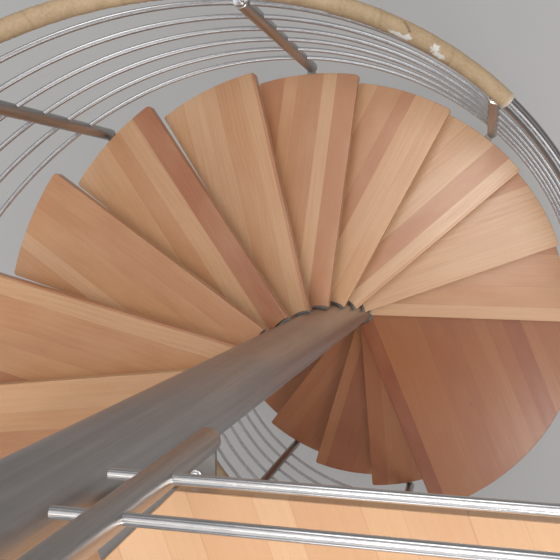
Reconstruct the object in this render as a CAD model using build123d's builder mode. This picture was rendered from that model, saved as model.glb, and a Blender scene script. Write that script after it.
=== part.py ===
# Spiral staircase: a steel column carries beech treads that wind up past an exit
# platform to a landing, with a stainless balustrade round the outside.
# Millimetres, +Z up. The origin is under the base plate, on the column's axis.
# Angles are degrees in plan, anticlockwise, and the stair climbs anticlockwise.
# Angle 0 is the front corner of the first tread above the platform.
import os
from math import asin, ceil, cos, degrees, radians, sin, sqrt
from build123d import *

# Levels and turning
riser = 201.5
lower_treads = 6
upper_treads = 14
landing_turn = 69.2
pitch = (360.0 - landing_turn) / upper_treads
platform_turn = 64.2
platform_lap = 2.8

# Plan
column_radius = 84.15
column_wall = 4.5
tread_radius = 1000.0
well_radius = 1110.0
tread_lap = 1.38
edge_offset = 22.5
back_offset = 45.0
column_gap = 12.0
landing_cut = 120.0
landing_edge = 10.0
landing_skew = 1.6

# Boards
board_thickness = 40.0
arris = 2.5

# Steel carriers under the boards
carrier_thickness = 8.0
carrier_root = 60.0
carrier_tip = 22.0
tread_carrier_reach = 690.0
web_height = 62.0
web_tip = 14.0
web_short = 60.0
platform_arms = 3
deck_root = 45.0
bar_width = 70.0
bar_web = 60.0
bar_inset = 12.0
end_plate_size = 90.0
end_plate_thickness = 8.0
end_plate_holes = 56.0
end_plate_hole_radius = 5.5
lug_width = 34.0

# Balustrade
post_offset = 35.0
post_radius = 21.2
post_drop = 64.0
post_height = 926.0
posts_every = 2
rail_count = 6
rail_radius = 8.0
rail_sides = 6
weld_gap = 0.3
first_rail = 140.0
rail_spacing = 153.0
rail_stub = 61.0
handrail_radius = 21.2
handrail_clear = 105.0
handrail_stub = 110.0
handrail_sides = 10
station_turn = 8.4
pin_radius = 6.0
pin_sides = 8
bracket_plate = 6.0
bracket_width = 60.0
bracket_seat = 70.0
bracket_inset = 8.0

# Landing balustrade
landing_post_line = 74.0
landing_post_near = 213.0
landing_post_inset = 75.0
landing_stub = 73.0

# Foot and head of the column
base_radius = 200.0
base_thickness = 12.0
base_bolts = 4
base_bolt_circle = 320.0
base_bolt_radius = 7.0
column_above_landing = 1000.0
head_cap = 10.0

platform_level = lower_treads + 1
landing_level = platform_level + upper_treads + 1
landing_top = landing_level * riser
column_top = landing_top + column_above_landing
platform_front = -(platform_turn + platform_lap)
tread_turn = pitch + tread_lap
board_inner = column_radius + column_gap
post_circle = tread_radius + post_offset
slope = riser / (radians(pitch) * post_circle)
handrail_height = post_height + handrail_clear + handrail_radius * sqrt(1 + slope ** 2)
rail_heights = [first_rail + rail_spacing * i for i in range(rail_count)]
landing_sweep = landing_turn + landing_skew
landing_posts = [(landing_post_near, landing_post_line),
                 (well_radius - landing_post_inset, landing_post_line)]
deck_reach = well_radius - end_plate_thickness
lower_levels = list(range(1, platform_level))
upper_levels = list(range(platform_level + 1, landing_level))


def write(shape, name):
    shape.label = name
    export_step(shape, f"parts/{name}.step")


def front_of(level):
    # Plan angle of a tread's front corner
    if level > platform_level:
        return (level - platform_level - 1) * pitch
    return -platform_turn - (platform_level - level) * pitch


def middle_of(level):
    return front_of(level) + tread_turn / 2


def on_circle(radius, angle):
    return (radius * cos(radians(angle)), radius * sin(radians(angle)))


def side_swing(offset, rim_radius):
    # A side runs beside the radius at this offset, so it turns outward on the way to the column
    return degrees(asin(offset / board_inner) - asin(offset / rim_radius))


def wedge_board(turn, rim_radius):
    # A board whose rim reaches from plan angle 0 to turn
    with BuildPart() as board:
        with BuildSketch(Plane.XY.offset(-board_thickness)):
            with BuildLine():
                nose = Line(on_circle(board_inner, -side_swing(edge_offset, rim_radius)), on_circle(rim_radius, 0))
                rim = ThreePointArc(nose @ 1, on_circle(rim_radius, turn / 2), on_circle(rim_radius, turn))
                back = Line(rim @ 1, on_circle(board_inner, turn + side_swing(back_offset, rim_radius)))
                ThreePointArc(back @ 1, on_circle(board_inner, turn / 2), nose @ 0)
            make_face()
        extrude(amount=board_thickness)
        chamfer(board.faces().sort_by(Axis.Z)[-1].edges(), length=arris)
    return board.part


def carrier(root, reach, web_end):
    # A tapering tongue under the board over an upright web, both cut to the column
    with BuildPart() as arm:
        with BuildSketch(Plane.XY.offset(-carrier_thickness)):
            Polygon((0, -root), (column_radius, -root), (reach - carrier_tip, -carrier_tip),
                    (reach, -carrier_tip / 2), (reach, carrier_tip / 2), (reach - carrier_tip, carrier_tip),
                    (column_radius, root), (0, root), align=None)
        extrude(amount=carrier_thickness)
        with BuildSketch(Plane.XZ):
            Polygon((0, -carrier_thickness), (web_end, -carrier_thickness),
                    (web_end, -carrier_thickness - web_tip),
                    (column_radius, -carrier_thickness - web_height),
                    (0, -carrier_thickness - web_height), align=None)
        extrude(amount=carrier_thickness / 2, both=True)
        with BuildSketch(Plane.XY.offset(-landing_top)):
            Circle(column_radius)
        extrude(amount=column_top, mode=Mode.SUBTRACT)
    return arm.part


def end_plate():
    # Stands at the end of a deck's arm or bar and bolts to the edge of the floor
    with BuildPart() as plate:
        with BuildSketch(Plane.YZ.offset(deck_reach)):
            with Locations((0, -end_plate_size / 2)):
                Rectangle(end_plate_size, end_plate_size)
                with GridLocations(end_plate_holes, end_plate_holes, 2, 1):
                    Circle(end_plate_hole_radius, mode=Mode.SUBTRACT)
        extrude(amount=end_plate_thickness)
    return plate.part


def tee_bar():
    # A flat bar with an upright web along X, from the axis to its end plate
    with BuildPart() as bar:
        with BuildSketch(Plane.YZ):
            with Locations((0, -carrier_thickness / 2)):
                Rectangle(bar_width, carrier_thickness)
            with Locations((0, -carrier_thickness - bar_web / 2)):
                Rectangle(carrier_thickness, bar_web)
        extrude(amount=deck_reach)
        add(end_plate())
    return bar.part


def place(shape, angle, height):
    return Pos(0, 0, height) * Rot(0, 0, angle) * shape


os.makedirs("parts", exist_ok=True)

# Column, foot and head
with BuildPart() as column:
    with BuildSketch(Plane.XY.offset(base_thickness)):
        Circle(column_radius)
        Circle(column_radius - column_wall, mode=Mode.SUBTRACT)
    extrude(amount=column_top - base_thickness)
write(column.part, "column")

with BuildPart() as base_plate:
    with BuildSketch():
        Circle(base_radius)
        with PolarLocations(base_bolt_circle / 2, base_bolts):
            Circle(base_bolt_radius, mode=Mode.SUBTRACT)
    extrude(amount=base_thickness)
write(base_plate.part, "base_plate")

with BuildPart() as column_cap:
    with BuildSketch(Plane.XY.offset(column_top)):
        Circle(column_radius)
    extrude(amount=head_cap)
write(column_cap.part, "column_cap")

# Treads, each a board of its own
tread = wedge_board(tread_turn, tread_radius)
for level in lower_levels + upper_levels:
    write(place(tread, front_of(level), level * riser), f"tread_{level:02d}")

# Exit platform, a wide wedge that fills the round opening of its floor
platform = wedge_board(platform_turn + 2 * platform_lap, well_radius)
write(place(platform, platform_front, platform_level * riser), "platform")

# Landing, drawn with its straight side along X and its inner corner cut back
with BuildPart() as landing:
    with BuildSketch(Plane.XY.offset(-board_thickness)):
        with BuildLine():
            side = Line((0, landing_edge), (sqrt(well_radius ** 2 - landing_edge ** 2), landing_edge))
            rim = ThreePointArc(side @ 1, on_circle(well_radius, -landing_sweep / 2),
                                on_circle(well_radius, -landing_sweep))
            nose = Line(rim @ 1, on_circle(board_inner, -landing_sweep - side_swing(edge_offset, well_radius)))
            Line(nose @ 1, side @ 0)
        make_face()
        Rectangle(2 * landing_cut, 4 * landing_cut, rotation=-45, mode=Mode.SUBTRACT)
    extrude(amount=board_thickness)
    chamfer(landing.faces().sort_by(Axis.Z)[-1].edges(), length=arris)
write(place(landing.part, landing_skew, landing_top), "landing")

# Carriers: one under each tread, several under the platform
tread_carrier = carrier(carrier_root, tread_carrier_reach, tread_carrier_reach - web_short)
with BuildPart() as tread_carriers:
    for level in lower_levels + upper_levels:
        add(place(tread_carrier, middle_of(level), level * riser - board_thickness))
write(tread_carriers.part, "tread_carriers")

with BuildPart() as deck_arm:
    add(carrier(deck_root, deck_reach, deck_reach))
    add(end_plate())

with BuildPart() as platform_carriers:
    for arm in range(platform_arms):
        angle = -platform_turn * (arm + 0.5) / platform_arms
        add(place(deck_arm.part, angle, platform_level * riser - board_thickness))
write(platform_carriers.part, "platform_carriers")

# Landing frame: a bar along each straight side, an arm between them, and lugs for the posts
bar_line = bar_inset + bar_width / 2
front_turn = landing_sweep - degrees(asin(edge_offset / well_radius))
with BuildPart() as landing_frame:
    add(Pos(0, landing_edge - bar_line, 0) * tee_bar())
    add(Rot(0, 0, -front_turn) * Pos(0, bar_line - edge_offset, 0) * tee_bar())
    add(place(deck_arm.part, -landing_sweep / 2, 0))
    with BuildSketch(Plane.XY.offset(-carrier_thickness)):
        for x, y in landing_posts:
            with Locations((x, (y + landing_edge - bar_line) / 2)):
                Rectangle(lug_width, y - landing_edge + bar_line)
    extrude(amount=carrier_thickness)
    with BuildSketch(Plane.XY.offset(-landing_top)):
        Circle(column_radius)
        with Locations(*landing_posts):
            Circle(post_radius + weld_gap)
    extrude(amount=landing_top, mode=Mode.SUBTRACT)
write(place(landing_frame.part, landing_skew, landing_top - board_thickness), "landing_frame")

# Balustrade posts on every second tread, on the last tread and beside the landing
with BuildPart() as post:
    with BuildSketch(Plane.XY.offset(-post_drop)):
        Circle(post_radius)
    extrude(amount=post_drop + post_height)

lower_posts = [level for level in lower_levels if level % posts_every == 0]
upper_posts = [level for level in upper_levels if level % posts_every == 0 or level == upper_levels[-1]]


def post_places(levels):
    return [Pos(*on_circle(post_circle, middle_of(level)), level * riser) for level in levels]


landing_places = [Pos(0, 0, landing_top) * Rot(0, 0, landing_skew) * Pos(x, y) for x, y in landing_posts]
for name, places in (("lower", post_places(lower_posts)),
                     ("upper", post_places(upper_posts) + landing_places)):
    with BuildPart() as posts:
        for spot in places:
            add(spot * post.part)
    write(posts.part, f"posts_{name}")


# Rails and handrails that climb with the stair
def climbing_bar(turn, radius, sides):
    # From plan angle 0 and height 0, lofted through sections set along the slope
    stations = ceil(turn / station_turn)
    with BuildPart() as bar:
        for station in range(stations + 1):
            angle = turn * station / stations
            x, y = on_circle(post_circle, angle)
            along = (-sin(radians(angle)), cos(radians(angle)), slope)
            outward = (cos(radians(angle)), sin(radians(angle)), 0)
            with BuildSketch(Plane((x, y, angle * riser / pitch), x_dir=outward, z_dir=along)):
                RegularPolygon(radius, sides)
        loft(ruled=True)
    return bar.part


def stub_turn(length):
    return degrees(length / post_circle)


def height_on(level, angle):
    # Height at this angle of the slope that passes through the tread's top at its post
    return level * riser + (angle - middle_of(level)) * riser / pitch


def rail_bay(levels, low, high):
    # The rails from one post to the next, cut to the posts they are welded to
    begin = middle_of(low) - (stub_turn(rail_stub) if low == levels[0] else 0)
    end = middle_of(high) + (stub_turn(rail_stub) if high == levels[-1] else 0)
    rail = climbing_bar(end - begin, rail_radius, rail_sides)
    with BuildPart() as bay:
        for height in rail_heights:
            add(place(rail, begin, height_on(low, begin) + height))
        for level in (low, high):
            with BuildSketch(Plane.XY.offset(level * riser - post_drop)):
                with Locations(Rot(0, 0, middle_of(level)) * Pos(post_circle)):
                    Rectangle(4 * rail_radius, 2 * (post_radius + weld_gap))
            extrude(amount=post_drop + post_height, mode=Mode.SUBTRACT)
    return bay.part


handrails = []
for name, levels in (("lower", lower_posts), ("upper", upper_posts)):
    for bay, (low, high) in enumerate(zip(levels, levels[1:]), start=1):
        write(rail_bay(levels, low, high), f"rails_{name}_{bay}")
    begin = middle_of(levels[0]) - stub_turn(handrail_stub)
    end = middle_of(levels[-1]) + stub_turn(handrail_stub)
    handrail = climbing_bar(end - begin, handrail_radius, handrail_sides)
    handrails.append(place(handrail, begin, height_on(levels[0], begin) + handrail_height))
    write(handrails[-1], f"handrail_{name}")

# Straight rails and handrail beside the landing
rail_start = landing_post_near - landing_stub
rail_length = landing_posts[-1][0] - landing_post_near + 2 * landing_stub
with BuildPart() as rails_landing:
    with BuildSketch(Plane.YZ.offset(rail_start)):
        with Locations(*[(landing_post_line, height) for height in rail_heights]):
            RegularPolygon(rail_radius, rail_sides)
    extrude(amount=rail_length)
    with BuildSketch(Plane.XY):
        with Locations(*landing_posts):
            Rectangle(2 * (post_radius + weld_gap), 4 * rail_radius)
    extrude(amount=post_height, mode=Mode.SUBTRACT)
write(place(rails_landing.part, landing_skew, landing_top), "rails_landing")

with BuildPart() as handrail_landing:
    with BuildSketch(Plane.YZ.offset(rail_start)):
        with Locations((landing_post_line, handrail_height)):
            RegularPolygon(handrail_radius, handrail_sides)
    extrude(amount=rail_length)
handrails.append(place(handrail_landing.part, landing_skew, landing_top))
write(handrails[-1], "handrail_landing")

# A pin on each post runs up to the underside of the handrail
with BuildPart() as pin:
    with BuildSketch(Plane.XY.offset(post_height)):
        RegularPolygon(pin_radius, pin_sides)
    extrude(amount=handrail_height - post_height)

with BuildPart() as handrail_pins:
    for spot in post_places(lower_posts + upper_posts) + landing_places:
        add(spot * pin.part)
    for handrail in handrails:
        add(handrail, mode=Mode.SUBTRACT)
write(handrail_pins.part, "handrail_pins")

# Tread brackets: a plate screwed up under the board's rim reaches out to the post
with BuildPart() as tread_bracket:
    with BuildSketch(Plane.XY.offset(-board_thickness - bracket_plate)):
        with Locations((tread_radius - bracket_inset - bracket_seat / 2, 0)):
            Rectangle(bracket_seat, bracket_width)
        with Locations(((post_circle + tread_radius - bracket_inset) / 2 - 5, 0)):
            Rectangle(post_circle - tread_radius + bracket_inset + 10, lug_width)
        with Locations((post_circle, 0)):
            Circle(post_radius + weld_gap, mode=Mode.SUBTRACT)
    extrude(amount=bracket_plate)

with BuildPart() as tread_brackets:
    for level in lower_posts + upper_posts:
        add(place(tread_bracket.part, middle_of(level), level * riser))
write(tread_brackets.part, "tread_brackets")
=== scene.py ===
import math
import random
from types import SimpleNamespace
import bpy
import bmesh
from mathutils import Euler, Matrix, Vector


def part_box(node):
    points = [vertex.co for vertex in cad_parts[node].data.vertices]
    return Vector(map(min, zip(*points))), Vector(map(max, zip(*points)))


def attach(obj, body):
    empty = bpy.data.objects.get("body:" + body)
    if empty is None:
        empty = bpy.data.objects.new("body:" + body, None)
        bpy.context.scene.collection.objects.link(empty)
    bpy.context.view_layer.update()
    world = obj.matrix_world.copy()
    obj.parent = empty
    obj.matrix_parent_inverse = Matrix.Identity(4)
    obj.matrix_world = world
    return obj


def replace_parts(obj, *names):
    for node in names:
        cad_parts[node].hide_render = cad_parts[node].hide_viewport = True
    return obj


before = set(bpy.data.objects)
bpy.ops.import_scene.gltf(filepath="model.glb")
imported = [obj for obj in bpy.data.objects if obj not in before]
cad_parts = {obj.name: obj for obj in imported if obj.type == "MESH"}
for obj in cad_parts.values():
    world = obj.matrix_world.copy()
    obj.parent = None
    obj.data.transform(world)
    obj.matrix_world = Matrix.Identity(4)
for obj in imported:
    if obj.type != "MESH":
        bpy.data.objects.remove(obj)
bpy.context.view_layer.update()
print("frame loaded:", len(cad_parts), "nodes")

# Stair sizes in metres and degrees, as in the solids
stair = {
    "riser": 0.2015,
    "lowerTreads": 6,
    "upperTreads": 14,
    "landingTurn": 69.2,
    "platformTurn": 64.2,
    "platformLap": 2.8,
    "columnRadius": 0.08415,
    "treadRadius": 1.0,
    "wellRadius": 1.11,
    "treadLap": 1.38,
    "edgeOffset": 0.0225,
    "backOffset": 0.045,
    "columnGap": 0.012,
    "boardThickness": 0.04,
    "postCircle": 1.035,
    "postRadius": 0.0212,
    "postDrop": 0.064,
    "postHeight": 0.926,
    "firstRail": 0.14,
    "railSpacing": 0.153,
    "railCount": 6,
    "railRadius": 0.008,
    "railStub": 0.061,
    "handrailRadius": 0.0212,
    "handrailClear": 0.105,
    "handrailStub": 0.11,
    "landingPostLine": 0.074,
    "landingPostNear": 0.213,
    "landingPostInset": 0.075,
    "landingStub": 0.073,
    "landingEdge": 0.010,
    "landingCut": 0.120,
    "landingSkew": 1.6,
}
dims = SimpleNamespace(**stair)
pitch = (360.0 - dims.landingTurn) / dims.upperTreads
slope = dims.riser / (math.radians(pitch) * dims.postCircle)
stretch = math.sqrt(1 + slope * slope)  # metres along the slope for each metre in plan
platformLevel = dims.lowerTreads + 1
landingLevel = platformLevel + dims.upperTreads + 1
landingTop = landingLevel * dims.riser
treadLevels = list(range(1, platformLevel)) + list(range(platformLevel + 1, landingLevel))
treadTurn = pitch + dims.treadLap
boardInner = dims.columnRadius + dims.columnGap
handrailHeight = dims.postHeight + dims.handrailClear + dims.handrailRadius * stretch
railHeights = [dims.firstRail + dims.railSpacing * i for i in range(dims.railCount)]
lowerPosts = [level for level in range(1, platformLevel) if level % 2 == 0]
upperPosts = [level for level in range(platformLevel + 1, landingLevel) if level % 2 == 0]
upperPosts.append(landingLevel - 1)
flights = (("lower", lowerPosts), ("upper", upperPosts))
landingPostX = (dims.landingPostNear, dims.wellRadius - dims.landingPostInset)
landingRailX = (landingPostX[0] - dims.landingStub, landingPostX[1] + dims.landingStub)
landingSpin = Matrix.Rotation(math.radians(dims.landingSkew), 3, "Z")


def onLanding(x, y, height=0.0):
    # The landing is drawn with its straight side along X, then turned by its skew
    return landingSpin @ Vector((x, y, 0)) + Vector((0, 0, landingTop + height))


def onCircle(radius, angle, height=0.0):
    return Vector((radius * math.cos(math.radians(angle)), radius * math.sin(math.radians(angle)), height))


def frontOf(level):
    # Plan angle of a tread's front corner; the upper flight starts at 0
    if level > platformLevel:
        return (level - platformLevel - 1) * pitch
    return -dims.platformTurn - (platformLevel - level) * pitch


def middleOf(level):
    return frontOf(level) + treadTurn / 2


def heightOn(level, angle):
    # Height of the slope that passes through the middle of this level's tread
    return level * dims.riser + (angle - middleOf(level)) * dims.riser / pitch


def stubTurn(length):
    return math.degrees(length / dims.postCircle)


# Shader maths: a Wire is one output, and an expression on wires adds its Math nodes
class Wire:
    def __init__(self, graph, socket):
        self.graph = graph
        self.socket = socket

    def __add__(self, other):
        return self.graph.math("ADD", self, other)

    def __sub__(self, other):
        return self.graph.math("SUBTRACT", self, other)

    def __mul__(self, other):
        return self.graph.math("MULTIPLY", self, other)

    def __truediv__(self, other):
        return self.graph.math("DIVIDE", self, other)

    def __radd__(self, other):
        return self.graph.math("ADD", other, self)

    def __rsub__(self, other):
        return self.graph.math("SUBTRACT", other, self)

    def __rmul__(self, other):
        return self.graph.math("MULTIPLY", other, self)

    def __rtruediv__(self, other):
        return self.graph.math("DIVIDE", other, self)


class Graph:
    def __init__(self, owner):
        # The owner is a material or the world
        owner.use_nodes = True
        self.owner = owner
        self.tree = owner.node_tree
        self.shader = self.tree.nodes.get("Principled BSDF") or self.tree.nodes["Background"]

    def plug(self, socket, value):
        if isinstance(value, Wire):
            self.tree.links.new(value.socket, socket)
        elif socket.type == "RGBA":
            socket.default_value = (*value, 1.0)
        else:
            socket.default_value = value

    def setStops(self, colorRamp, stops):
        while len(colorRamp.elements) < len(stops):
            colorRamp.elements.new(0.5)
        for element, (place, colour) in zip(colorRamp.elements, stops):
            element.position = place
            element.color = (*colour, 1.0)

    def node(self, kind, settings=None, inputs=None, out=0):
        # Any node: its settings first, then the values or links of its sockets
        made = self.tree.nodes.new(kind)
        for key, value in (settings or {}).items():
            if key == "stops":
                self.setStops(made.color_ramp, value)
            else:
                setattr(made, key, value)
        for key, value in (inputs or {}).items():
            self.plug(made.inputs[key], value)
        if out == "all":
            return [Wire(self, socket) for socket in made.outputs]
        return Wire(self, made.outputs[out])

    def math(self, operation, *values):
        return self.node("ShaderNodeMath", {"operation": operation}, dict(enumerate(values)))

    def split(self, vector):
        return self.node("ShaderNodeSeparateXYZ", {}, {0: vector}, "all")

    def join(self, x, y, z):
        return self.node("ShaderNodeCombineXYZ", {}, {0: x, 1: y, 2: z})

    def place(self):
        return self.split(self.node("ShaderNodeTexCoord", {}, {}, "Object"))

    def stored(self, name):
        # The three numbers that the mesh keeps at each vertex under this name
        return self.split(self.node("ShaderNodeAttribute", {"attribute_name": name}, {}, "Vector"))

    def noise(self, vector, scale, detail=3.0, rough=0.5):
        sockets = {"Vector": vector, "Scale": scale, "Detail": detail, "Roughness": rough}
        return self.node("ShaderNodeTexNoise", {}, sockets)

    def white(self, vector):
        return self.node("ShaderNodeTexWhiteNoise", {"noise_dimensions": "3D"}, {"Vector": vector})

    def ramp(self, factor, stops):
        return self.node("ShaderNodeValToRGB", {"stops": stops}, {0: factor})

    def mix(self, factor, a, b, blend="MIX"):
        settings = {"data_type": "RGBA", "blend_type": blend}
        return self.node("ShaderNodeMix", settings, {0: factor, 6: a, 7: b}, 2)

    def range(self, value, low, high, newLow, newHigh):
        return self.node("ShaderNodeMapRange", {}, {0: value, 1: low, 2: high, 3: newLow, 4: newHigh})

    def bump(self, height, strength, distance):
        return self.node("ShaderNodeBump", {}, {"Height": height, "Strength": strength, "Distance": distance})

    def set(self, **values):
        for key, value in values.items():
            self.plug(self.shader.inputs[key.replace("_", " ")], value)
        return self.owner


def srgb(red, green, blue):
    return tuple((c / 255 / 12.92) if c / 255 <= 0.04045 else ((c / 255 + 0.055) / 1.055) ** 2.4
                 for c in (red, green, blue))


# Beech: staves beside the nosing, grain along them
beechLook = {
    "pale": srgb(228, 186, 146),
    "straw": srgb(218, 168, 122),
    "warm": srgb(206, 150, 108),
    "rosy": srgb(192, 130, 92),
    "red": srgb(168, 96, 62),
    "pore": srgb(132, 78, 50),
    "staveTones": [(0.0, "straw"), (0.2, "pale"), (0.4, "straw"), (0.6, "warm"), (0.75, "straw"),
                   (0.88, "warm"), (1.0, "rosy")],
    "staveWidth": 0.074,
    "widthSwing": 0.013,  # how far the lines between staves wander, and how often they do
    "swingRate": 37.0,
    "redNosings": {14: 0.078, 7: 0.072},  # board number: width of its red front stave
    "redShare": 0.85,
    "paintedShadeBoards": 7.5,  # painted shade: the lower flight and the platform, up to this number, are of deeper colour, as if in shade
    "paintedShadeTone": srgb(200, 160, 125),
    "paintedLightBoards": 21.5,  # painted light: the landing, above this number, is paler, as if more brightly lit
    "paintedLightShare": 0.4,
    "rings": 190.0,
    "ringBend": 0.42,
    "ringShare": 0.2,  # the shares say how strongly each mark of the wood shows
    "streakShare": 0.3,
    "cloudShare": 0.3,
    "poreShare": 0.45,
    "fineShare": 0.1,
    "knot": {"board": 7, "along": -0.447, "across": 0.372, "radius": 0.009, "share": 0.75},
    "seam": 0.014,  # half width of the line between two staves, in widths of a stave
    "seamShare": 0.3,
    "roughness": 0.33,
    "coat": 0.12,
    "coatRoughness": 0.2,
    "relief": 0.1,
    "depth": 0.0005,
}


def beechMaterial():
    look = beechLook
    g = Graph(bpy.data.materials.new("beech"))
    along, across, board = g.stored("grain")
    board = g.math("ROUND", board)

    def onBoard(number):
        return g.math("COMPARE", board, float(number), 0.4)

    def dice(throw):
        # A random number for each stave of each board, another one for each throw
        return g.white(g.join(stave, board, throw))

    # Staves: their width wanders a little, and each has its own tone and shift of grain
    wave = g.math("SINE", across * look["swingRate"] + board * 2.3) * look["widthSwing"]
    count = (across + wave) / look["staveWidth"]
    stave = g.math("FLOOR", count)
    fraction = g.math("FRACT", count)
    seam = g.math("MINIMUM", fraction, 1.0 - fraction)
    tones = [(place, look[name]) for place, name in look["staveTones"]]
    tone = g.ramp(dice(4.0), tones)
    for number, width in look["redNosings"].items():
        front = g.math("LESS_THAN", across, width) * onBoard(number)
        tone = g.mix(front * look["redShare"], tone, look["red"])
    shift = dice(9.0) * 11.0
    # Growth rings cut lengthwise: long arches in some staves, straight lines in others
    bend = g.noise(g.join(along * 1.1 + shift, across * 3.0, shift), 1.0, 2.0, 0.4)
    rings = g.math("SINE", (across * 2.2 + bend * look["ringBend"] + shift) * look["rings"])
    arches = g.range(rings, -0.2, 1.0, 0.0, 1.0) * g.range(dice(21.0), 0.3, 1.0, 0.02, look["ringShare"])
    tone = g.mix(arches, tone, look["rosy"])
    streak = g.noise(g.join(along * 1.1 + shift, across * 30.0, board), 3.0, 5.0, 0.6)
    tone = g.mix(g.range(streak, 0.38, 0.72, 0.0, look["streakShare"]), tone, look["rosy"])
    clouds = g.noise(g.join(along * 2.0, across * 5.0, board + shift), 2.2, 2.0)
    tone = g.mix(g.range(clouds, 0.4, 0.75, 0.0, look["cloudShare"]), tone, look["pale"])
    # Pores: short dark flecks, and a finer grain between them
    fine = g.noise(g.join(along * 16.0, across * 620.0, board), 1.0, 2.0, 0.6)
    flecks = g.noise(g.join(along * 140.0, across * 800.0, board), 1.0, 1.0)
    pores = g.range(flecks, 0.66, 0.74, 0.0, look["poreShare"])
    tone = g.mix(pores, tone, look["pore"])
    tone = g.mix(g.range(fine, 0.3, 0.7, 0.0, look["fineShare"]), tone, look["pore"])
    # The boards of one flight are of one colour, with painted shade deeper below and painted light paler at
    # the landing
    tone = g.mix(g.math("LESS_THAN", board, look["paintedShadeBoards"]), tone, look["paintedShadeTone"], "MULTIPLY")
    tone = g.mix(g.math("GREATER_THAN", board, look["paintedLightBoards"]) * look["paintedLightShare"], tone, look["pale"])
    # One small knot, twice as long as wide
    knot = look["knot"]
    knotAlong = (along - knot["along"]) * 0.5
    knotAcross = across - knot["across"]
    fromKnot = g.math("SQRT", knotAlong * knotAlong + knotAcross * knotAcross)
    dark = g.range(fromKnot, knot["radius"] * 0.25, knot["radius"], knot["share"], 0.0)
    tone = g.mix(dark * onBoard(knot["board"]), tone, look["pore"])
    line = g.range(seam, 0.0, look["seam"], look["seamShare"], 0.0)
    tone = g.mix(line, tone, look["pore"])
    rough = g.range(streak, 0.2, 0.8, look["roughness"] - 0.05, look["roughness"] + 0.09)
    normal = g.bump(fine * 0.5 - pores * 0.4 - line, look["relief"], look["depth"])
    return g.set(Base_Color=tone, Roughness=rough, Normal=normal, Coat_Weight=look["coat"],
                 Coat_Roughness=look["coatRoughness"])


# Steel: stretch sets how often the brushing changes along X, Y and Z, per metre
steelLook = {
    "column": {"colour": srgb(176, 172, 171), "stretch": (60.0, 60.0, 1.2), "roughness": 0.33,
               "contrast": 0.16, "smear": 0.1, "relief": 0.05},
    "post": {"colour": srgb(172, 168, 166), "stretch": (150.0, 150.0, 3.0), "roughness": 0.3,
             "contrast": 0.16, "smear": 0.1, "relief": 0.05},
    "plate": {"colour": srgb(142, 138, 135), "stretch": (25.0, 25.0, 25.0), "roughness": 0.4,
              "contrast": 0.1, "smear": 0.1, "relief": 0.05},
    "weld": {"colour": srgb(142, 138, 135), "stretch": (300.0, 300.0, 300.0), "roughness": 0.45,
             "contrast": 0.25, "smear": 0.1, "relief": 0.05},
    "rail": {"colour": srgb(208, 206, 205), "stretch": (40.0, 40.0, 40.0), "roughness": 0.2,
             "contrast": 0.05, "smear": 0.02, "relief": 0.005},
    "handrail": {"colour": srgb(172, 168, 166), "stretch": (50.0, 50.0, 50.0), "roughness": 0.17,
                 "contrast": 0.06, "smear": 0.03, "relief": 0.01},
    "bright": {"colour": srgb(222, 222, 224), "stretch": (60.0, 60.0, 60.0), "roughness": 0.16,
               "contrast": 0.04, "smear": 0.03, "relief": 0.05},
}


def steelMaterial(name, colour, stretch, roughness, contrast, smear, relief):
    g = Graph(bpy.data.materials.new(name))
    x, y, z = g.place()
    brushed = g.noise(g.join(x * stretch[0], y * stretch[1], z * stretch[2]), 1.0, 5.0, 0.7)
    smears = g.noise(g.join(x * 5.0, y * 5.0, z * 2.0), 1.5, 3.0, 0.6)
    dark = tuple(c * (1.0 - contrast) for c in colour)
    pale = tuple(min(1.0, c * (1.0 + contrast)) for c in colour)
    tone = g.mix(g.range(brushed, 0.3, 0.7, 0.0, 1.0), dark, pale)
    tone = g.mix(g.range(smears, 0.45, 0.75, 0.0, smear * 3), tone, dark)
    rough = g.range(brushed, 0.3, 0.7, roughness - 0.04, roughness + 0.05)
    rough = rough + g.range(smears, 0.3, 0.7, 0.0, smear)
    return g.set(Base_Color=tone, Metallic=1.0, Roughness=rough, Normal=g.bump(brushed, relief, 0.0002))


# Packaging paper round the handrail, wound in laps, with torn places
wrapLook = {
    "paper": srgb(204, 175, 137),
    # painted shade in the paper's folds and along each lap's edge
    "paintedFoldShade": srgb(166, 134, 98),
    "white": srgb(240, 236, 228),
    # painted shade in the crease's fold
    "crease": srgb(92, 70, 50),
    "laps": 4.2,  # turns of the paper for each metre of handrail
    "lapLean": 0.16,
    "frayed": 0.022,  # how far the paper is frayed from its lower end, in metres
    "relief": 0.5,
    "depth": 0.003,
}


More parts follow.
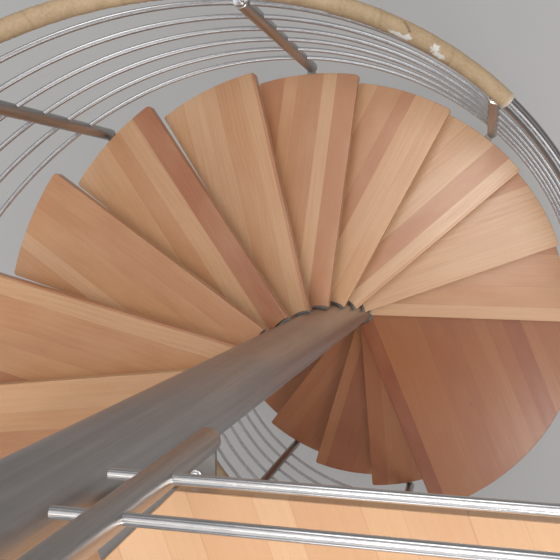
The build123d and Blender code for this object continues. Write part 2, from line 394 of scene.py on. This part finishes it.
def wrapMaterial():
    look = wrapLook
    g = Graph(bpy.data.materials.new("wrapPaper"))
    along, around, torn = g.stored("wrapPlace")
    folds = g.noise(g.join(along * 6.0, around * 1.2, 0.0), 3.0, 4.0, 0.6)
    fibre = g.noise(g.join(along * 140.0, around * 20.0, 3.0), 1.0, 2.0)
    edge = g.noise(g.join(along * 110.0, around * 16.0, 7.0), 1.0, 4.0, 0.75)
    lap = g.range(g.math("FRACT", along * look["laps"] + around * look["lapLean"]), 0.0, 0.05, 1.0, 0.0)
    patch = g.range(torn + edge * 1.5 - 0.75, 0.3, 0.5, 0.0, 1.0)
    crease = g.range(torn, -0.5, -0.05, 1.0, 0.0)  # the crease is kept as negative torn values
    frayed = g.range(along + edge * 0.012, 0.006, look["frayed"], 0.55, 0.0)
    # Painted shade: the paper darkens in its folds and along each lap's edge
    tone = g.mix(g.range(folds, 0.3, 0.7, 0.0, 0.6), look["paper"], look["paintedFoldShade"])
    tone = g.mix(lap * 0.5, tone, look["paintedFoldShade"])
    tone = g.mix(g.range(fibre, 0.4, 0.8, 0.0, 0.15), tone, look["white"])
    tone = g.mix(patch, tone, look["white"])
    # Painted shade: a dark line along the crease
    tone = g.mix(crease * 0.75, tone, look["crease"])
    tone = g.mix(frayed, tone, look["white"])
    normal = g.bump(folds + lap * 0.4 + fibre * 0.1 - crease * 0.6, look["relief"], look["depth"])
    return g.set(Base_Color=tone, Roughness=g.range(folds, 0.2, 0.8, 0.5, 0.7), Normal=normal)


beech = beechMaterial()
steels = {name: steelMaterial(name + "Steel", **look) for name, look in steelLook.items()}
wrapPaper = wrapMaterial()
print("materials made")

# Mesh helpers: edges sharper than smoothAngle stay sharp, and those sharper than bevelAngle are bevelled
meshLook = {"smoothAngle": 35.0, "bevelAngle": 50.0, "roundSteps": 4, "barSoft": 0.0015}


def newPiece(name, bm, material):
    mesh = bpy.data.meshes.new(name)
    bm.normal_update()
    bm.to_mesh(mesh)
    bm.free()
    piece = bpy.data.objects.new(name, mesh)
    bpy.context.scene.collection.objects.link(piece)
    mesh.materials.append(material)
    mesh.shade_smooth()
    mesh.set_sharp_from_angle(angle=math.radians(meshLook["smoothAngle"]))
    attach(piece, "root")
    return piece


def softenEdges(piece, name, width, segments, harden=False):
    bevel = piece.modifiers.new(name, "BEVEL")
    bevel.width = width
    bevel.segments = segments
    bevel.limit_method = "ANGLE"
    bevel.angle_limit = math.radians(meshLook["bevelAngle"])
    bevel.harden_normals = harden


def turned(bm, profile, sides, centre, axis):
    # A closed turned body: profile holds (radius, height) from the axis to the axis
    rings = []
    for radius, height in profile:
        if radius == 0:
            rings.append([bm.verts.new(centre + axis @ Vector((0, 0, height)))])
            continue
        ring = []
        for i in range(sides):
            a = 2 * math.pi * i / sides
            point = Vector((radius * math.cos(a), radius * math.sin(a), height))
            ring.append(bm.verts.new(centre + axis @ point))
        rings.append(ring)
    for low, high in zip(rings, rings[1:]):
        for i in range(sides):
            j = (i + 1) % sides
            corners = [low[i % len(low)], low[j % len(low)], high[j % len(high)], high[i % len(high)]]
            unique = list(dict.fromkeys(corners))
            if len(unique) > 2:
                bm.faces.new(unique)


def roundedEnd(radius, height, soft, direction):
    # Profile points that round a rod's end; direction is -1 at its foot and 1 at its head
    steps = meshLook["roundSteps"]
    points = []
    for i in range(steps + 1):
        a = math.pi / 2 * i / steps
        points.append((radius - soft + soft * math.cos(a), height - direction * soft * (1 - math.sin(a))))
    return points if direction > 0 else points[::-1]


def rod(bm, radius, low, high, sides, centre, softLow, softHigh):
    profile = [(0.0, low)] + roundedEnd(radius, low, softLow, -1) + roundedEnd(radius, high, softHigh, 1)
    turned(bm, profile + [(0.0, high)], sides, centre, Matrix.Identity(3))


def tube(bm, points, tangents, radii, sides, layer=None, lengths=None, soft=meshLook["barSoft"]):
    # A closed bar along points, its two rims slightly rounded
    last = len(points) - 1
    stations = [(0, soft)] + [(i, 0.0) for i in range(last + 1)] + [(last, soft)]
    rings = []
    for place, (i, shrink) in enumerate(stations):
        t = tangents[i].normalized()
        side = t.cross(Vector((0, 0, 1))).normalized()
        up = side.cross(t)
        inset = soft * ((place == 1) - (place == last + 1))
        centre = points[i] + t * inset
        ring = []
        for k in range(sides):
            a = 2 * math.pi * k / sides
            vert = bm.verts.new(centre + (side * math.cos(a) + up * math.sin(a)) * (radii[i] - shrink))
            if layer is not None:
                vert[layer] = Vector((lengths[i], a / (2 * math.pi), 0.0))
            ring.append(vert)
        rings.append(ring)
    for low, high in zip(rings, rings[1:]):
        for k in range(sides):
            bm.faces.new((low[k], low[(k + 1) % sides], high[(k + 1) % sides], high[k]))
    bm.faces.new(rings[0][::-1])
    bm.faces.new(rings[-1])


def prism(bm, outline, rise, turn):
    # A closed slab: the outline, and the same outline moved by rise, set in place by turn
    low = [bm.verts.new(turn @ point) for point in outline]
    high = [bm.verts.new(turn @ (point + rise)) for point in outline]
    bm.faces.new(low[::-1])
    bm.faces.new(high)
    for i in range(len(outline)):
        j = (i + 1) % len(outline)
        bm.faces.new((low[i], low[j], high[j], high[i]))
    return low + high


def climbingPath(begin, end, startHeight, step):
    # Points on the post circle that climb with the stair, with tangents and lengths from the start
    count = max(2, math.ceil((end - begin) / step))
    points, tangents, lengths = [], [], []
    for i in range(count + 1):
        angle = begin + (end - begin) * i / count
        points.append(onCircle(dims.postCircle, angle, startHeight + (angle - begin) * dims.riser / pitch))
        tangents.append(Vector((-math.sin(math.radians(angle)), math.cos(math.radians(angle)), slope)))
        lengths.append(math.radians(angle - begin) * dims.postCircle * stretch)
    return points, tangents, lengths


# Boards
boardLook = {
    "arris": 0.0028,
    "arrisSegments": 3,
    "cornerRadius": 0.011,
    "arcStep": 1.2,
    "innerArcStep": 6.0,
    "backPlay": 0.35,  # degrees that a tread's back goes further under the next nosing than in the solids
    "widerBacks": {12: 0.8, 14: 0.8},  # board number: the same for boards that need more of it
}


def arc(radius, begin, end, step):
    count = max(2, math.ceil(abs(end - begin) / step))
    return [onCircle(radius, begin + (end - begin) * i / count) for i in range(count + 1)]


def roundCorner(outline, index, radius):
    # Swaps one corner of a closed outline for a small arc
    before, corner, after = outline[index - 1], outline[index], outline[(index + 1) % len(outline)]
    u, v = (before - corner).normalized(), (after - corner).normalized()
    half = u.angle(v) / 2
    reach = radius / math.tan(half)
    start, finish = corner + u * reach, corner + v * reach
    centre = corner + (u + v).normalized() * (radius / math.sin(half))
    first, final = (start - centre).normalized(), (finish - centre).normalized()
    steps = meshLook["roundSteps"]
    return [centre + first.slerp(final, i / steps).normalized() * radius for i in range(steps + 1)]


def board(name, outline, top, nosing, number):
    # nosing is (point on the front edge, direction along it) and sets the staves
    origin, direction = nosing
    across = Vector((-direction.y, direction.x, 0))
    bm = bmesh.new()
    layer = bm.verts.layers.float_vector.new("grain")
    underside = Matrix.Translation((0, 0, top - dims.boardThickness))
    for vert in prism(bm, outline, Vector((0, 0, dims.boardThickness)), underside):
        away = Vector((vert.co.x, vert.co.y, 0)) - origin
        vert[layer] = Vector((away.dot(direction), away.dot(across), number))
    piece = newPiece(name + "_board", bm, beech)
    softenEdges(piece, "arris", boardLook["arris"], boardLook["arrisSegments"], harden=True)
    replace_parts(piece, name)


def sideSwing(offset, rim):
    # How far an edge that runs beside the radius turns between the rim and the column
    return math.degrees(math.asin(offset / boardInner) - math.asin(offset / rim))


def wedgeOutline(front, rear, rim):
    outer = arc(rim, front, rear, boardLook["arcStep"])
    innerRear = rear + sideSwing(dims.backOffset, rim)
    innerFront = front - sideSwing(dims.edgeOffset, rim)
    inner = arc(boardInner, innerRear, innerFront, boardLook["innerArcStep"])
    outline = outer + inner
    last = len(outer) - 1
    rearCorner = roundCorner(outline, last, boardLook["cornerRadius"])
    frontCorner = roundCorner(outline, 0, boardLook["cornerRadius"])
    return frontCorner + outer[1:last] + rearCorner + inner


def wedgeNosing(front, rim):
    tilt = front + math.degrees(math.asin(dims.edgeOffset / rim))
    return onCircle(rim, front), onCircle(1.0, tilt)


for level in treadLevels:
    front = frontOf(level)
    rear = front + treadTurn + boardLook["widerBacks"].get(level, boardLook["backPlay"])
    board(f"tread_{level:02d}", wedgeOutline(front, rear, dims.treadRadius), level * dims.riser,
          wedgeNosing(front, dims.treadRadius), level)
platformFront = -(dims.platformTurn + dims.platformLap)
board("platform", wedgeOutline(platformFront, dims.platformLap, dims.wellRadius), platformLevel * dims.riser,
      wedgeNosing(platformFront, dims.wellRadius), platformLevel)

# The landing's outline: its cut inner corner, its front edge, the rim and its straight side
corner, along = wedgeNosing(-dims.landingTurn, dims.wellRadius)
cut = onCircle(1.0, dims.landingSkew - 45.0)
head = corner + along * ((dims.landingCut - corner.dot(cut)) / along.dot(cut))
near = landingSpin @ Vector((dims.landingCut * math.sqrt(2) + dims.landingEdge, dims.landingEdge, 0))
sideAngle = dims.landingSkew + math.degrees(math.asin(dims.landingEdge / dims.wellRadius))
landingOutline = [near, head] + arc(dims.wellRadius, -dims.landingTurn, sideAngle, boardLook["arcStep"])
board("landing", landingOutline, landingTop, (corner, along), landingLevel)
print("boards made")

# Column with a rounded cap
columnLook = {"sides": 128, "footSoft": 0.0005, "rimSoft": 0.0015, "capHeight": 0.010, "capSoft": 0.006}
columnFoot, columnTop = (end.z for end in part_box("column"))
onAxis = Vector((0, 0, 0))
bm = bmesh.new()
rod(bm, dims.columnRadius, columnFoot, columnTop, columnLook["sides"], onAxis, columnLook["footSoft"],
    columnLook["rimSoft"])
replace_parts(newPiece("columnTube", bm, steels["column"]), "column")
bm = bmesh.new()
rod(bm, dims.columnRadius, columnTop, columnTop + columnLook["capHeight"], columnLook["sides"], onAxis,
    columnLook["rimSoft"], columnLook["capSoft"])
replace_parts(newPiece("columnCap", bm, steels["column"]), "column_cap")
print("column made")

# Posts with a bright cap, and pins under the handrails
postLook = {"sides": 40, "footSoft": 0.009, "headSoft": 0.0006}
capLook = {"height": 0.004, "proud": 0.0004, "lowSoft": 0.0004, "topSoft": 0.0022}
pinLook = {"radius": 0.006, "sides": 20, "soft": 0.002}
collarLook = {"radius": 0.011, "height": 0.004, "sides": 24, "lowSoft": 0.0003, "topSoft": 0.0015}


def postPlaces(levels):
    return [onCircle(dims.postCircle, middleOf(level), level * dims.riser) for level in levels]


landingPosts = [onLanding(x, dims.landingPostLine) for x in landingPostX]
groups = (("posts_lower", postPlaces(lowerPosts)), ("posts_upper", postPlaces(upperPosts) + landingPosts))
capFoot = dims.postHeight - capLook["height"]
for node, places in groups:
    bm = bmesh.new()
    for place in places:
        rod(bm, dims.postRadius, -dims.postDrop, capFoot, postLook["sides"], place, postLook["footSoft"],
            postLook["headSoft"])
    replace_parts(newPiece(node + "_tubes", bm, steels["post"]), node)
    bm = bmesh.new()
    for place in places:
        rod(bm, dims.postRadius + capLook["proud"], capFoot, dims.postHeight, postLook["sides"], place,
            capLook["lowSoft"], capLook["topSoft"])
    newPiece(node + "_caps", bm, steels["bright"])
bm = bmesh.new()
pinTop = handrailHeight - dims.handrailRadius * 0.5  # inside the handrail
collarTop = dims.postHeight + collarLook["height"]
for node, places in groups:
    for place in places:
        rod(bm, pinLook["radius"], dims.postHeight, pinTop, pinLook["sides"], place, pinLook["soft"],
            pinLook["soft"])
        rod(bm, collarLook["radius"], dims.postHeight, collarTop, collarLook["sides"], place,
            collarLook["lowSoft"], collarLook["topSoft"])
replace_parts(newPiece("handrailPins", bm, steels["bright"]), "handrail_pins")
print("posts made")

# Rails that climb with the stair, through the posts
railLook = {"sides": 20, "step": 1.0}
landingLine = landingSpin @ Vector((1, 0, 0))


def landingBar(bm, height, radius, sides):
    points = [onLanding(x, dims.landingPostLine, height) for x in landingRailX]
    tube(bm, points, [landingLine] * 2, [radius] * 2, sides)


for flight, levels in flights:
    begin = middleOf(levels[0]) - stubTurn(dims.railStub)
    end = middleOf(levels[-1]) + stubTurn(dims.railStub)
    bm = bmesh.new()
    startHeight = heightOn(levels[0], begin)
    for height in railHeights:
        points, tangents, lengths = climbingPath(begin, end, startHeight + height, railLook["step"])
        tube(bm, points, tangents, [dims.railRadius] * len(points), railLook["sides"])
    rails = newPiece(f"rails_{flight}_bars", bm, steels["rail"])
    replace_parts(rails, *[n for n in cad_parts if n.startswith(f"rails_{flight}_")])
bm = bmesh.new()
for height in railHeights:
    landingBar(bm, height, dims.railRadius, railLook["sides"])
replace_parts(newPiece("rails_landing_bars", bm, steels["rail"]), "rails_landing")
print("rails made")

# Handrails, and the packaging that is still on them
handrailLook = {"sides": 40, "step": 1.0}
packaging = {
    "radius": 0.0262,
    "thinner": 0.0007,
    "thicker": 0.0009,
    "sides": 48,
    "step": 0.25,
    "seed": 7,
    "upperBegin": 50.2,  # plan angle below which the upper handrail is bare
    "lowerBare": 0.6,  # degrees without packaging at the lower handrail's start
    "endBare": 0.4,  # and at both handrails' ends
    "torn": [  # plan angle, share of a turn round the bar, half length in metres, half turn
        (69.9, 0.40, 0.046, 0.07),
        (68.5, 0.37, 0.020, 0.10),
        (64.2, 0.31, 0.022, 0.13),
        (63.2, 0.38, 0.034, 0.09),
    ],
    "crease": {"angle": 68.2, "share": 0.4, "bow": 0.5, "begin": 0.14, "end": 0.42, "width": 0.0045},
}


def alongWrap(angle, wrapBegin):
    return math.radians(angle - wrapBegin) * (dims.postCircle * stretch)


def markDamage(bm, layer, wrapBegin):
    # Keeps at each vertex how near it is to a torn place, or as a negative number to the crease
    crease = packaging["crease"]
    for vert in bm.verts:
        s, a = vert[layer].xy
        nearness = 0.0
        for angle, share, halfLength, halfTurn in packaging["torn"]:
            off = (s - alongWrap(angle, wrapBegin)) / halfLength
            side = ((a - share + 0.5) % 1.0 - 0.5) / halfTurn
            nearness = max(nearness, 1.0 - math.hypot(off, side))
        if nearness < 0.01 and crease["begin"] < a < crease["end"]:
            bowed = alongWrap(crease["angle"], wrapBegin) + crease["bow"] * (a - crease["share"]) ** 2
            nearness = -max(0.0, 1.0 - abs(s - bowed) / crease["width"])
        vert[layer] = Vector((s, a, nearness))


def wrapPiece(flight, startLevel, begin, end):
    wrapBegin = packaging["upperBegin"] if flight == "upper" else begin + packaging["lowerBare"]
    wrapEnd = end - packaging["endBare"]
    startHeight = heightOn(startLevel, wrapBegin) + handrailHeight
    points, tangents, lengths = climbingPath(wrapBegin, wrapEnd, startHeight, packaging["step"])
    rng = random.Random(packaging["seed"])
    thinner, thicker = packaging["thinner"], packaging["thicker"]
    radii = [packaging["radius"] + rng.uniform(-thinner, thicker) for point in points]
    bm = bmesh.new()
    layer = bm.verts.layers.float_vector.new("wrapPlace")
    tube(bm, points, tangents, radii, packaging["sides"], layer, lengths)
    if flight == "upper":
        markDamage(bm, layer, wrapBegin)
    newPiece(f"handrail_{flight}_wrap", bm, wrapPaper)


for flight, levels in flights:
    begin = middleOf(levels[0]) - stubTurn(dims.handrailStub)
    end = middleOf(levels[-1]) + stubTurn(dims.handrailStub)
    startHeight = heightOn(levels[0], begin) + handrailHeight
    points, tangents, lengths = climbingPath(begin, end, startHeight, handrailLook["step"])
    bm = bmesh.new()
    tube(bm, points, tangents, [dims.handrailRadius] * len(points), handrailLook["sides"])
    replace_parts(newPiece(f"handrail_{flight}_tube", bm, steels["handrail"]), f"handrail_{flight}")
    wrapPiece(flight, levels[0], begin, end)
bm = bmesh.new()
landingBar(bm, handrailHeight, dims.handrailRadius, handrailLook["sides"])
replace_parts(newPiece("handrail_landing_tube", bm, steels["handrail"]), "handrail_landing")
print("handrails made")

# Steel under the treads: a tongue over an upright web, welded to the column
carrierLook = {
    "root": 0.034,  # half the tongue's width at the column
    "tip": 0.022,  # half its width at the tip, which is round
    "reach": 0.69,
    "sink": 0.003,  # how far the steel goes into the column's surface
    "thickness": 0.008,
    "noseSteps": 12,
    "webHeight": 0.062,
    "webTip": 0.014,
    "webShort": 0.06,
    "webSink": 0.0002,  # how far the web goes into the tongue
    "screwPlaces": ((0.17, 0.022), (0.17, -0.022), (0.42, 0.017), (0.42, -0.017), (0.655, 0.0)),
}
weldLook = {"radius": 0.0035, "sides": 10, "steps": 10, "soft": 0.0015, "proud": 0.3}  # proud is in radii
screwLook = {"radius": 0.0065, "height": 0.0042, "sides": 18}
downward = Matrix.Rotation(math.pi, 3, "X")


def screwHead(bm, place):
    # A domed head with a round socket, looking down
    r, h = screwLook["radius"], screwLook["height"]
    dome = [(0, 0), (r, 0), (r, h * 0.45), (r * 0.86, h * 0.8), (r * 0.6, h)]
    socket = [(r * 0.42, h), (r * 0.38, h * 0.4), (0, h * 0.4)]
    turned(bm, dome + socket, screwLook["sides"], place, downward)


def tongueOutline():
    c = carrierLook
    root = (dims.columnRadius - c["sink"], c["root"])
    shoulder = (c["reach"] - c["tip"], c["tip"])
    turns = [math.pi * k / c["noseSteps"] for k in range(1, c["noseSteps"])]
    nose = [(shoulder[0] + c["tip"] * math.sin(a), -c["tip"] * math.cos(a)) for a in turns]
    outline = [(root[0], -root[1]), (shoulder[0], -shoulder[1])] + nose + [shoulder, root]
    return [Vector((x, y, 0)) for x, y in outline]


def carrierParts(steel, screws, angle, under):
    # One tread's carrier; under is the height of the board's underside
    c = carrierLook
    turn = Matrix.Translation((0, 0, under)) @ Matrix.Rotation(math.radians(angle), 4, "Z")
    thick = Vector((0, 0, c["thickness"]))
    prism(steel, [point - thick for point in tongueOutline()], thick, turn)
    begin = dims.columnRadius - c["sink"]
    end = c["reach"] - c["webShort"]
    top = c["webSink"] - c["thickness"]
    side = c["thickness"] / 2
    web = [Vector((end, side, top)), Vector((end, side, top - c["webTip"])),
           Vector((begin, side, top - c["webHeight"])), Vector((begin, side, top))]
    prism(steel, web, Vector((0, -c["thickness"], 0)), turn)
    for x, y in c["screwPlaces"]:
        screwHead(screws, turn @ Vector((x, y, -c["thickness"])))


def levelBead(bm, angle, height, halfTurn):
    # A weld bead on the column's surface, level round it
    steps = weldLook["steps"]
    radius = weldLook["radius"]
    turns = [angle - halfTurn + 2 * halfTurn * i / steps for i in range(steps + 1)]
    points = [onCircle(dims.columnRadius + radius * weldLook["proud"], a, height) for a in turns]
    tangents = [onCircle(1.0, a + 90) for a in turns]
    tube(bm, points, tangents, [radius] * (steps + 1), weldLook["sides"], soft=radius * 0.5)


def weldsAt(bm, angle, under):
    # Beads over and under the tongue, and upright ones on both sides of the web
    thickness = carrierLook["thickness"]
    halfTurn = math.degrees(math.asin(carrierLook["root"] / dims.columnRadius))
    for height in (under, under - thickness):
        levelBead(bm, angle, height, halfTurn)
    foot = under - thickness - carrierLook["webHeight"]
    for side in (-1, 1):
        off = math.degrees(thickness / 2 / dims.columnRadius) * side
        rod(bm, weldLook["radius"], foot, foot + carrierLook["webHeight"], weldLook["sides"],
            onCircle(dims.columnRadius, angle + off), weldLook["soft"], weldLook["soft"])


steel, beads, screws = bmesh.new(), bmesh.new(), bmesh.new()
for level in treadLevels:
    under = level * dims.riser - dims.boardThickness
    carrierParts(steel, screws, middleOf(level), under)
    weldsAt(beads, middleOf(level), under)
carriers = newPiece("carriers", steel, steels["plate"])
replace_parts(carriers, "tread_carriers")
newPiece("carrier_welds", beads, steels["weld"])

# Steel that keeps its solid, with the same soft edges as the carriers
plateLook = {
    "soft": 0.0012,
    "segments": 2,
    "nodes": ("platform_carriers", "landing_frame", "tread_brackets", "base_plate"),
}
kept = [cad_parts[node] for node in plateLook["nodes"]]
for part in kept:
    part.data.materials.clear()
    part.data.materials.append(steels["plate"])
for part in [carriers] + kept:
    softenEdges(part, "softEdge", plateLook["soft"], plateLook["segments"])

# Screws up into the boards' rims, beside each post's bracket, and bolts on the landing's lugs
bracketLook = {"inner": 0.937, "outer": 0.975, "half": 0.019, "plate": 0.006}
lugBolt = {"out": 0.012, "aside": -0.014, "washer": 0.009, "washerHeight": 0.0015, "washerSides": 24,
           "head": 0.0075, "height": 0.0075, "corners": 6, "lowSoft": 0.0003, "washerSoft": 0.0004,
           "headSoft": 0.0008}
for level in lowerPosts + upperPosts:
    turn = Matrix.Rotation(math.radians(middleOf(level)), 3, "Z")
    under = level * dims.riser - dims.boardThickness - bracketLook["plate"]
    for radius in (bracketLook["inner"], bracketLook["outer"]):
        for side in (-1, 1):
            screwHead(screws, turn @ Vector((radius, side * bracketLook["half"], under)))
for x in landingPostX:
    place = onLanding(x + lugBolt["aside"], dims.landingEdge + lugBolt["out"], -dims.boardThickness)
    rod(screws, lugBolt["washer"], 0.0, lugBolt["washerHeight"], lugBolt["washerSides"], place,
        lugBolt["lowSoft"], lugBolt["washerSoft"])
    rod(screws, lugBolt["head"], lugBolt["washerHeight"], lugBolt["height"], lugBolt["corners"], place,
        lugBolt["lowSoft"], lugBolt["headSoft"])
    screwHead(screws, place + Vector((0, 0, -carrierLook["thickness"])))
newPiece("screws", screws, steels["bright"])
print("carriers dressed")

# Stage: away from the stair the camera sees the floor melt into the pale backdrop
stageLook = {
    "floor": srgb(212, 210, 207),
    "roughness": 0.7,
    "size": 60.0,
    "drop": 0.001,
    "backdrop": (0.62, 0.62, 0.61),
    "fadeFrom": 2.2,
    "fadeTo": 8.0,
    "soft": [(0.0, (0.13, 0.13, 0.14)), (0.5, (0.11, 0.113, 0.12)), (0.8, (0.2, 0.203, 0.21)),
             (1.0, (0.5, 0.51, 0.53))],
    # Polished steel mirrors a bright band round the stage and a bright top
    "mirrored": [(0.0, (0.1, 0.1, 0.1)), (0.5, (0.1, 0.1, 0.1)), (0.54, (0.6, 0.6, 0.62)),
                 (0.64, (0.55, 0.55, 0.57)), (0.7, (0.14, 0.14, 0.15)), (0.79, (0.3, 0.3, 0.31)),
                 (0.86, (0.95, 0.95, 0.97)), (1.0, (1.0, 1.0, 1.0))],
}
bm = bmesh.new()
bmesh.ops.create_grid(bm, x_segments=1, y_segments=1, size=stageLook["size"])
mesh = bpy.data.meshes.new("floor")
bm.to_mesh(mesh)
bm.free()
floor = bpy.data.objects.new("floor", mesh)
bpy.context.scene.collection.objects.link(floor)
floor.location = (0, 0, -stageLook["drop"])
g = Graph(bpy.data.materials.new("floor"))
x, y = g.place()[:2]
away = g.range(g.math("SQRT", x * x + y * y), stageLook["fadeFrom"], stageLook["fadeTo"], 0.0, 1.0)
seen = g.node("ShaderNodeLightPath", {}, {}, "Is Camera Ray") * away
backdrop = g.node("ShaderNodeEmission", {}, {"Color": stageLook["backdrop"]})
melted = g.node("ShaderNodeMixShader", {}, {0: seen, 1: Wire(g, g.shader.outputs[0]), 2: backdrop})
g.plug(g.tree.nodes["Material Output"].inputs[0], melted)
mesh.materials.append(g.set(Base_Color=stageLook["floor"], Roughness=stageLook["roughness"]))

world = bpy.data.worlds.new("studio")
bpy.context.scene.world = world
sky = Graph(world)
upward = sky.split(sky.node("ShaderNodeTexCoord", {}, {}, "Generated"))[2] * 0.5 + 0.5
glossy = sky.node("ShaderNodeLightPath", {}, {}, "Is Glossy Ray")
seen = sky.node("ShaderNodeLightPath", {}, {}, "Is Camera Ray")
lit = sky.mix(glossy, sky.ramp(upward, stageLook["soft"]), sky.ramp(upward, stageLook["mirrored"]))
sky.set(Color=sky.mix(seen, lit, stageLook["backdrop"]), Strength=1.0)

# Lamps: one over the stair, one for the landing, and soft boxes round the stage that draw a bright line
# along every rail
lampLook = {
    "warm": (1.0, 0.98, 0.95),
    "cool": (0.97, 0.98, 1.0),
    "top": {"place": (0.72, 0.75, 8.5), "target": (0.6, 0.5, 0.0), "size": 1.7, "power": 112.0},
    "landing": {"place": (1.6, -1.9, 6.2), "target": (0.75, -0.4, 4.4), "size": 1.0, "power": 58.0},
    "side": {"target": (0.0, 0.0, 3.6), "size": 2.0},
    "sideRadius": 5.5,
    "sideHeight": 6.0,
    "sidePowers": {30.0: 20.0, 90.0: 30.0, 150.0: 22.0, 210.0: 16.0, 270.0: 24.0, 330.0: 26.0},  # by angle
}


def areaLamp(name, colour, place, target, size, power):
    light = bpy.data.lights.new(name, "AREA")
    light.size = size
    light.energy = power
    light.color = colour
    lamp = bpy.data.objects.new(name, light)
    lamp.visible_camera = False
    lamp.location = place
    lamp.rotation_euler = (Vector(target) - Vector(place)).to_track_quat("-Z", "Y").to_euler()
    bpy.context.scene.collection.objects.link(lamp)


areaLamp("topLamp", lampLook["warm"], **lampLook["top"])
areaLamp("landingLamp", lampLook["warm"], **lampLook["landing"])
for angle, power in lampLook["sidePowers"].items():
    place = onCircle(lampLook["sideRadius"], angle, lampLook["sideHeight"])
    areaLamp("sideLamp", lampLook["cool"], place, power=power, **lampLook["side"])

cameraLook = {
    "place": (0.6126, 0.4234, 5.5645),
    "turn": (-3.6945, 14.0172, 1.7506),
    "lens": 52.44,
    "sensor": 36.0,
    "nearest": 0.01,
}
camera = bpy.data.objects.new("camera", bpy.data.cameras.new("camera"))
camera.data.lens = cameraLook["lens"]
camera.data.sensor_width = cameraLook["sensor"]
camera.data.clip_start = cameraLook["nearest"]
camera.location = cameraLook["place"]
camera.rotation_euler = Euler([math.radians(a) for a in cameraLook["turn"]], "XYZ")
bpy.context.scene.collection.objects.link(camera)
bpy.context.scene.camera = camera
bpy.context.scene.view_settings.view_transform = "Standard"
print("stage made")
